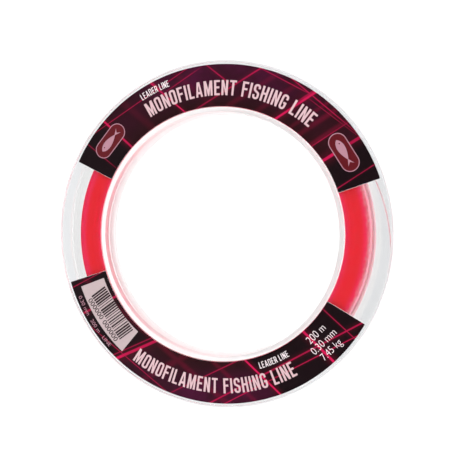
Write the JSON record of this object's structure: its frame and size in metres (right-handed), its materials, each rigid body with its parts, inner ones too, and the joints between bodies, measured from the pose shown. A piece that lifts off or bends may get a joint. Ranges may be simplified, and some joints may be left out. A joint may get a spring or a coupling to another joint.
{
  "type": "fishing line spool",
  "caption": "Flat ring spool of clear plastic with a wide open bore, wound with fine pink fishing line and carrying dark arc labels.",
  "frame": {"origin": "centre of the bore, in the plane of the rear face that the spool lies on", "axes": "+Z along the spool's axis, out of the front face with the labels; +Y towards the middle of the upper label"},
  "size_m": [0.12, 0.12, 0.01],
  "materials": {
    "clear_shell": "clear moulded polystyrene, polished",
    "clear_tape": "clear adhesive tape",
    "pink_line": "drawn single-strand line, glossy, slightly see-through",
    "label_film": "printed film, satin",
    "label_ink": "pale pink ink, satin"
  },
  "bodies": {
    "root": {"rear_half": "clear_shell", "front_half": "clear_shell", "anchor_tape": "clear_tape", "line_winding": "pink_line", "line_tail": "pink_line", "upper_label": "label_film", "lower_label": "label_film"}
  },
  "joints": []
}
